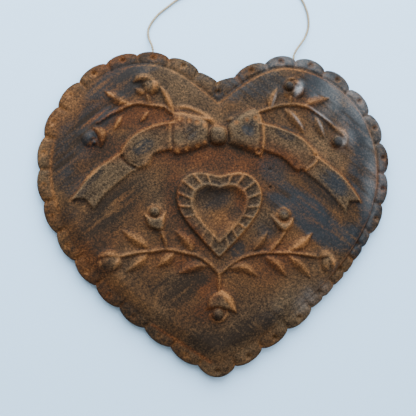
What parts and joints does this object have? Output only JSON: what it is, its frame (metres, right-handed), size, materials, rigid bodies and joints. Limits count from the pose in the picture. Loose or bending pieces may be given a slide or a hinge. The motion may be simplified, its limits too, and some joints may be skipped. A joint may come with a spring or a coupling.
{
  "type": "beeswax heart ornament",
  "caption": "Flat-backed beeswax heart with a scalloped rim and a moulded relief of a bow, ribbons and rosebud sprigs, hung by a twine loop sealed into its back.",
  "frame": {"origin": "The flat back of the heart, under the middle of its width and height, twine not counted", "axes": "+Z out of the decorated face, +X to the right across the lobes, +Y towards the cleft and the hanger"},
  "size_m": [0.11, 0.127, 0.0095],
  "materials": {
    "beeswax": "dark poured beeswax with rust-brown powder in the relief, soft satin",
    "seal_wax": "dripped dark beeswax, satin",
    "twine": "natural two-ply twine, dry and fibrous"
  },
  "bodies": {
    "heart": {"wax_heart": "beeswax", "left_twine_tail": "twine", "right_twine_tail": "twine", "left_stopper_knot": "twine", "right_stopper_knot": "twine", "left_wax_seal": "seal_wax", "right_wax_seal": "seal_wax"},
    "hanger": {"hanger_twine": "twine"}
  },
  "joints": [
    {"name": "hanger_swing", "type": "hinge", "parent": "heart", "child": "hanger", "pos_m": [0, 0.0512, 0.0019], "axis": [1, 0, 0], "range_deg": [-90, 90]}
  ]
}
